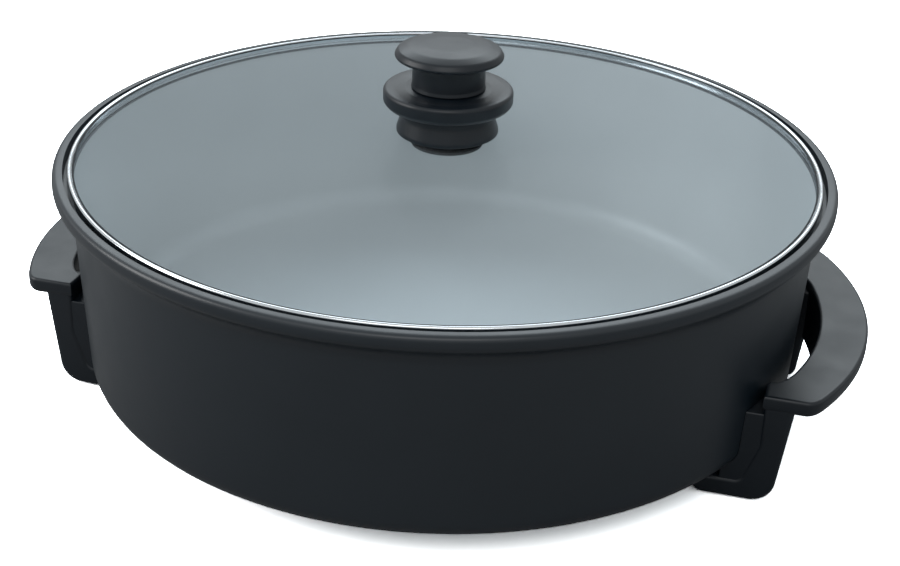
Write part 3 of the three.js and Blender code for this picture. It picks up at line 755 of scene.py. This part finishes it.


# The skirt's depth and its lower edge, rising to the front, close the gap under the grip where the
# shade beneath the handle shows: in part the dark lip is painted shade.
def makeSkirtFillingShade():
    g = grip
    innerX, narrow = g["reach"] - g["width"] - g["innerArc"], g["innerArc"] + g["skirtInset"]
    wide = narrow + g["skirt"]
    outerTurn = math.degrees(math.asin(g["skirtHalf"] / wide))
    innerTurn = math.degrees(math.asin(g["skirtHalf"] / narrow))
    outline = arc(innerX, 0, wide, -outerTurn, outerTurn, 36)
    outline += arc(innerX, 0, narrow, innerTurn, -innerTurn, 36)
    skirt = slab("skirt", outline, g["skirtLow"], g["bottom"] + 5, 0.7, 0, [moulding])
    below = slab("below", box2(100, -300, 260, 300, 2), -200, 0, 0, 0, [moulding])
    moved(below, shift(0, g["skirtLevel"], g["skirtLow"])
          @ spin(-math.degrees(math.atan(g["skirtRise"])), "X"))
    return combine(skirt, [below], "DIFFERENCE")


# The leg at the positive side of Y, and what is cut from it.
def makeLeg(side):
    g, l = grip, leg
    top, webTop = g["bottom"] + l["inGrip"], g["bottom"] - l["webDrop"]
    corner = l["rearCorner"] if side > 0 else l["frontCorner"]
    outline = rounded([
        (l["toeEnd"], l["bottom"], 4), (l["outerFoot"], l["bottom"], corner),
        (l["outerTop"], top, 0), (l["innerTop"], top, 0),
        (l["innerTop"], l["heelHeight"], 8), (l["heel"], l["toeTop"], 4),
        (l["toeEnd"], l["toeTop"], 3)], closed=True, step=8)
    shaft = slab("leg", outline, l["near"], l["far"], l["edge"], l["edge"], [moulding],
                 place=standing)
    middle, half = l["screwY"], l["webHalf"]
    web = slab("web", box2(l["webInner"], l["toeTop"] - l["shell"], l["webOuter"], webTop, 1.4),
               middle - half, middle + half, 0.8, 0.8, [moulding], place=standing)
    room = half - l["shell"]
    pocket = slab("pocket", box2(140, l["toeTop"] + l["shell"], l["outerFoot"] - l["shell"],
                                 webTop - l["shell"], 1.5),
                  middle - room, middle + room, 1.2, 1.2, [moulding], place=standing)
    bore, headBore, depth = l["screwBore"], l["headBore"], l["headDepth"]
    hole = turned("hole", [(0, -3), (headBore + 0.4, -3), (headBore, 1.4), (headBore, depth),
                           (bore, depth), (bore, 16), (0, 16)], [moulding], around=40)
    hole.data.transform(shift(l["screwX"], middle))
    inner, outer = l["padX"]
    recess = slab("recess", box2(inner - gap, middle - l["padHalf"] - gap, outer + gap,
                                 middle + l["padHalf"] + gap, 3.3),
                  -3, l["padTop"] + gap, 0, 0.2, [moulding])
    made = [shaft, web], [pocket, hole, recess]
    if side < 0:
        for group in made:
            for obj in group:
                moved(obj, Matrix.Scale(-1, 4, (0, 1, 0)))
    return made


def makeHandles():
    g = grip
    handle = slab("handle_right_moulding", gripOutline(), g["bottom"], g["top"], g["bottomEdge"],
                  g["topEdge"], [moulding], steps=6)
    joined, cutters = [], []
    for side in (1, -1):
        solids, holes = makeLeg(side)
        joined += solids
        cutters += holes
    combine(handle, joined + [makeSkirtFillingShade()], "UNION")
    cutters.append(turned("around_pan", [(0, pan["underside"] - gap)]
                          + arc(flatRadius, pan["underside"] + pan["corner"], pan["corner"] + gap,
                                -90, -4, 12)
                          + [(neckRadius + gap, rollZ), (0, rollZ)], [moulding], around=256))
    combine(handle, cutters, "DIFFERENCE")
    mirrored = copyOf(handle, "handle_left_moulding", Matrix.Scale(-1, 4, (1, 0, 0)))
    dress(handle, "pan", "black_moulding", "handle_right")
    dress(mirrored, "pan", "black_moulding", "handle_left")


makeHandles()
print("handles made")


# Feet and the bosses over them: a grooved pad, a boss under the pan and a screw at each leg

fixing = {
    "shank": 2.0,
    "head": 4.0,
    "headHeight": 2.6,
    "bore": 2.4,
    "toeScrewLow": 1.6,
    "earScrewLow": 5.8,
    "bossRadius": 5,
    "bossLow": 12,
    "bossTop": 17.7,
    "holeTop": 16.8,
    "tip": 16.3,
}
groove = {"pitch": 3.6, "half": 0.6, "margin": 3, "depth": 0.7}


def makePad():
    inner, outer = leg["padX"]
    half, wide, margin = leg["padHalf"], groove["half"], groove["margin"]
    pad = slab("foot", box2(inner, -half, outer, half, 4), 0, leg["padTop"], 0.5, 0.2, [rubber])
    grooves = []
    for k in (-1, 0, 1):
        y = k * groove["pitch"]
        outline = box2(inner + margin, y - wide, outer - margin, y + wide, 0.5)
        grooves.append(slab("groove", outline, -1, groove["depth"], 0, 0.3, [rubber], steps=2))
    return combine(pad, grooves, "DIFFERENCE")


def makeBoss():
    f = fixing
    profile = rounded([
        (0, f["holeTop"]), (f["bore"], f["holeTop"]), (f["bore"], f["bossLow"], 0.3),
        (f["bossRadius"], f["bossLow"], 0.5), (f["bossRadius"], f["bossTop"]),
        (0, f["bossTop"])])
    return turned("boss", profile, [turnedAluminium], around=48)


def bossScrew(low):
    f = fixing
    return makeScrew("boss_screw", f["shank"], f["head"], low, low + f["headHeight"], f["tip"])


def makeFeet():
    pad, boss, screw = makePad(), makeBoss(), bossScrew(fixing["toeScrewLow"])
    flip = {1: Matrix.Identity(4), -1: Matrix.Scale(-1, 4, (1, 0, 0))}
    for sideName, side in (("right", 1), ("left", -1)):
        for endName, end in (("front", -1), ("rear", 1)):
            tail = sideName + "_" + endName
            spot = shift(side * leg["screwX"], end * leg["screwY"])
            foot = copyOf(pad, "foot_" + tail, shift(0, end * leg["screwY"]) @ flip[side])
            dress(foot, "pan", "black_rubber", "foot_pad_" + tail)
            dress(copyOf(boss, "leg_boss_" + tail, spot), "pan", "bare_aluminium",
                  "mount_boss_" + tail)
            dress(copyOf(screw, "leg_screw_" + tail, spot @ spin(side * end * 20)), "pan",
                  "plated_steel", "handle_screw_" + tail)
    for obj in (pad, boss, screw):
        bpy.data.objects.remove(obj, do_unlink=True)


makeFeet()
print("feet made")


# Heating: plate, ring element with two leads, and three straps

heat = {
    "plateRadius": 125,
    "plateLow": 14.3,
    "plateTop": 17.7,
    "holeTop": 16.7,
    "height": 10.5,
    "ringRadius": 95,
    "tube": 3.5,
    "bend": 14,
    "leadY": 16,
    "leadEnd": 147,
}
strap = {
    "inner": 72.7,
    "wall": 90.9,
    "hook": 97.9,
    "top": 14.0,
    "hookTop": 6.7,
    "sheet": 1.2,
    "half": 6,
    "screwX": 78.7,
    "angles": (90, 180, 270),
}


def makeHeating():
    h = heat
    low, high, radius = h["plateLow"], h["plateTop"], h["plateRadius"]
    plate = turned("heat_disc", rounded([
        (0, low), (h["ringRadius"] - 12, low), (radius, low, 0.6), (radius, high, 0.4),
        (0, high)]), [turnedAluminium], around=256)
    holes = []
    for angle in strap["angles"]:
        hole = turned("hole", [(0, low - 2), (fixing["bore"], low - 2),
                               (fixing["bore"], h["holeTop"]), (0, h["holeTop"])],
                      [turnedAluminium], around=32)
        hole.data.transform(spin(angle) @ shift(strap["screwX"], 0))
        holes.append(hole)
    dress(combine(plate, holes, "DIFFERENCE"), "pan", "bare_aluminium", "heat_plate")
    bendY = h["leadY"] + h["bend"]
    bendX = math.sqrt((h["ringRadius"] + h["bend"]) ** 2 - bendY ** 2)
    turn = math.degrees(math.atan2(bendY, bendX))
    path = [(h["leadEnd"], h["leadY"]), (h["leadEnd"] - 20, h["leadY"])]
    path += arc(bendX, bendY, h["bend"], -90, turn - 180, 16)
    path += arc(0, 0, h["ringRadius"], turn, 360 - turn, 160)[1:]
    path += arc(bendX, -bendY, h["bend"], 180 - turn, 90, 16)[1:]
    path += [(h["leadEnd"] - 20, -h["leadY"]), (h["leadEnd"], -h["leadY"])]
    element = rod("ring_element", path, h["height"], h["tube"], [sheathSteel])
    dress(element, "pan", "element_steel", "heating_element")


def makeStraps():
    s = strap
    sheet, top, low = s["sheet"], s["top"], s["hookTop"] - s["sheet"]
    outline = rounded([
        (s["inner"], top), (s["inner"], top - sheet), (s["wall"] - sheet, top - sheet, 0.4),
        (s["wall"] - sheet, low, 1.5), (s["hook"], low, 0.3), (s["hook"], s["hookTop"], 0.3),
        (s["wall"], s["hookTop"], 0.4), (s["wall"], top, 1.5)], closed=True, step=12)
    band = slab("strap", outline, -s["half"], s["half"], 0.2, 0.2, [zincSteel], place=standing,
                steps=2)
    hole = turned("hole", [(0, top - 4), (fixing["bore"], top - 4), (fixing["bore"], top + 4),
                           (0, top + 4)], [zincSteel], around=32)
    hole.data.transform(shift(s["screwX"], 0))
    combine(band, [hole], "DIFFERENCE")
    headHigh = top - sheet - gap
    screw = makeScrew("strap_screw", fixing["shank"], fixing["head"],
                      headHigh - fixing["headHeight"], headHigh, heat["holeTop"] - 0.5)
    for i, angle in enumerate(s["angles"]):
        number = str(i + 1)
        dress(copyOf(band, "element_strap_" + number, spin(angle)), "pan", "plated_steel",
              "element_clip_" + number)
        dress(copyOf(screw, "strap_screw_" + number, spin(angle) @ shift(s["screwX"], 0)
                     @ spin(15 + 40 * i)), "pan", "plated_steel", "clip_screw_" + number)
    for obj in (band, screw):
        bpy.data.objects.remove(obj, do_unlink=True)


makeHeating()
makeStraps()
print("heating made")


# Socket for the lead's thermostat plug

socket = {
    "back": 147.3,
    "front": 183.3,
    "half": 27,
    "low": 3.3,
    "top": 17.7,
    "round": 2.5,
    "wall": 2,
    "backWall": 2.5,
    "earHalf": 40,
    "earLength": 14,
    "earLow": 8.7,
    "earThick": 3,
    "earScrew": (154.3, 33.5),
    "pin": 2.5,
    "pinY": 16,
    "pinTip": 178.3,
    "sleeve": (62, 175.3),
    "sleeveBore": 2.7,
}


def makeSocket():
    s, height = socket, heat["height"]
    back, front, half, wall = s["back"], s["front"], s["half"], s["wall"]
    shroud = slab("socket_shroud", box2(-half, s["low"], half, s["top"], s["round"]), back, front,
                  0.4, 0.6, [moulding], place=facing)
    ears = slab("ears", box2(back, -s["earHalf"], back + s["earLength"], s["earHalf"], 5),
                s["earLow"], s["earLow"] + s["earThick"], 0.5, 0.5, [moulding])
    combine(shroud, [ears], "UNION")
    cutters = [slab("room", box2(-half + wall, s["low"] + wall, half - wall, s["top"] - wall, 1),
                    back + s["backWall"], front + 4, 0.6, 0, [moulding], place=facing)]
    for y, radius in ((s["pinY"], s["pin"]), (-s["pinY"], s["pin"]), (0, heat["tube"])):
        hole = turned("hole", [(0, -4), (radius + gap, -4), (radius + gap, 6), (0, 6)],
                      [moulding], around=32)
        hole.data.transform(shift(back, y, height) @ spin(90, "Y"))
        cutters.append(hole)
    for side in (1, -1):
        hole = turned("hole", [(0, 3), (fixing["bore"], 3), (fixing["bore"], 16), (0, 16)],
                      [moulding], around=32)
        hole.data.transform(shift(s["earScrew"][0], side * s["earScrew"][1]))
        cutters.append(hole)
    dress(combine(shroud, cutters, "DIFFERENCE"), "pan", "black_moulding", "inlet_shroud")

    length = s["pinTip"] - back
    pin = turned("pin", rounded([(0, 0), (s["pin"], 0), (s["pin"], length, 1.6), (0, length)],
                                step=10), [sheathSteel], around=40)
    boss, screw = makeBoss(), bossScrew(fixing["earScrewLow"])
    for number, side in (("1", -1), ("2", 1)):
        spot = shift(s["earScrew"][0], side * s["earScrew"][1])
        dress(copyOf(pin, "socket_pin_" + number, shift(back, side * s["pinY"], height)
                     @ spin(90, "Y")), "pan", "element_steel", "inlet_pin_" + number)
        dress(copyOf(boss, "socket_boss_" + number, spot), "pan", "bare_aluminium",
              "shroud_boss_" + number)
        dress(copyOf(screw, "socket_screw_" + number, spot @ spin(side * 25)), "pan",
              "plated_steel", "shroud_screw_" + number)
    for obj in (pin, boss, screw):
        bpy.data.objects.remove(obj, do_unlink=True)

    start, end = s["sleeve"]
    tube, bore = heat["tube"], s["sleeveBore"]
    sleeve = turned("sensor_sleeve", rounded([
        (0, 0), (tube, 0, 1.2), (tube, end - start, 0.3), (bore, end - start, 0.3), (bore, 0.8),
        (0, 0.8)], step=12), [sheathSteel], around=48)
    moved(sleeve, shift(start, 0, height) @ spin(90, "Y"))
    dress(sleeve, "pan", "element_steel", "probe_sleeve")


makeSocket()
print("socket made")


# Floor, light and camera

stage = {
    "floorColour": "#a0a0a0",
    "floorSeen": 6.5,  # over-exposed to the camera, so that only deep shadow shows
    "throughGlass": 0.1,  # share of that exposure behind the lid
    "ambient": 0.42,
    "inGloss": 0.6,  # brightness of the surroundings in gloss and through glass
    "skyTint": (0.93, 0.975, 1, 1),
    "half": 6000,
}
# Places and sizes in metres, power in watts.
lamps = {
    "back_softbox": {"place": (-0.35, 1.7, 1.5), "target": (0, 0, 0.1), "size": (2.6, 1.1),
                     "power": 21, "colour": (0.86, 0.95, 1)},
    "left_fill": {"place": (-1.5, -0.5, 0.9), "target": (0, 0, 0.08), "size": (0.9, 0.9),
                  "power": 11, "colour": (1, 1, 1)},
    "front_fill": {"place": (0.2, -1.7, 1.7), "target": (0, -0.2, 0), "size": (1.6, 1.0),
                   "power": 8, "colour": (1, 1, 1)},
}


# Mid grey for the light that it sends back to the object, over-exposed white where it is seen.
def makeFloor():
    mat = newMaterial("white_sweep")
    seen = stage["floorSeen"]
    plain = addNode(mat, "ShaderNodeBsdfDiffuse", Color=linear(stage["floorColour"]))
    white = addNode(mat, "ShaderNodeBsdfDiffuse", Color=(seen, seen, seen, 1))
    rays = addNode(mat, "ShaderNodeLightPath")
    share = addNode(mat, "ShaderNodeMath", {"operation": "MULTIPLY_ADD"},
                    _0=rays.outputs["Is Transmission Ray"], _1=stage["throughGlass"],
                    _2=rays.outputs["Is Camera Ray"])
    surface(mat, addNode(mat, "ShaderNodeMixShader", _0=share.outputs[0], _1=plain.outputs[0],
                         _2=white.outputs[0]))
    half = stage["half"]
    piece("floor", [(-half, -half, 0), (half, -half, 0), (half, half, 0),
                             (-half, half, 0)], [[0, 1, 2, 3]], [mat])


# Pure white to the camera, a little cooler and dimmer in gloss, through glass and as light.
def makeWorld():
    world = bpy.data.worlds.new("studio")
    bpy.context.scene.world = world
    world.use_nodes = True
    world.node_tree.nodes.clear()
    rays = addNode(world, "ShaderNodeLightPath")
    toCamera = rays.outputs["Is Camera Ray"]
    toGloss = addNode(world, "ShaderNodeMath", {"operation": "MAXIMUM"},
                      _0=rays.outputs["Is Glossy Ray"], _1=rays.outputs["Is Transmission Ray"])
    strength = addNode(world, "ShaderNodeMapRange", _0=toGloss.outputs[0], _3=stage["ambient"],
                       _4=stage["inGloss"])
    whole = addNode(world, "ShaderNodeMath", {"operation": "MAXIMUM"}, _0=toCamera,
                    _1=strength.outputs[0])
    tint = addNode(world, "ShaderNodeMix", {"data_type": "RGBA"}, _0=toCamera,
                   _6=stage["skyTint"], _7=(1, 1, 1, 1))
    back = addNode(world, "ShaderNodeBackground", Color=tint.outputs[2], Strength=whole.outputs[0])
    addNode(world, "ShaderNodeOutputWorld", Surface=back.outputs[0])


def makeLamp(name, place, target, size, power, colour):
    lamp = bpy.data.lights.new(name, "AREA")
    lamp.shape = "RECTANGLE"
    lamp.size, lamp.size_y = size
    lamp.energy, lamp.color = power, colour
    obj = bpy.data.objects.new(name, lamp)
    obj.location = place
    obj.rotation_euler = (Vector(target) - Vector(place)).to_track_quat("-Z", "Y").to_euler()
    bpy.context.scene.collection.objects.link(obj)


camera = {
    "place": (0.20592, -0.76745, 0.45715),
    "yaw": 14.727,
    "tilt": 63.0803,
    "roll": 1.901,
    "focal": 1655.23,  # in pixels of a picture 900 wide
    "width": 900,
}


def makeCamera():
    lens = bpy.data.cameras.new("camera")
    lens.sensor_width = 36
    lens.sensor_fit = "HORIZONTAL"
    lens.lens = camera["focal"] / camera["width"] * lens.sensor_width
    lens.clip_start, lens.clip_end = 0.01, 50
    obj = bpy.data.objects.new("camera", lens)
    turn = Matrix.Identity(4)
    for angle, axis in ((camera["yaw"], "Z"), (camera["tilt"], "X"), (camera["roll"], "Z")):
        turn = turn @ spin(angle, axis)
    obj.matrix_world = Matrix.Translation(camera["place"]) @ turn
    bpy.context.scene.collection.objects.link(obj)
    bpy.context.scene.camera = obj


makeFloor()
makeWorld()
for lampName, settings in lamps.items():
    makeLamp(lampName, **settings)
makeCamera()
bpy.context.scene.view_settings.view_transform = "Standard"
print("stage set")
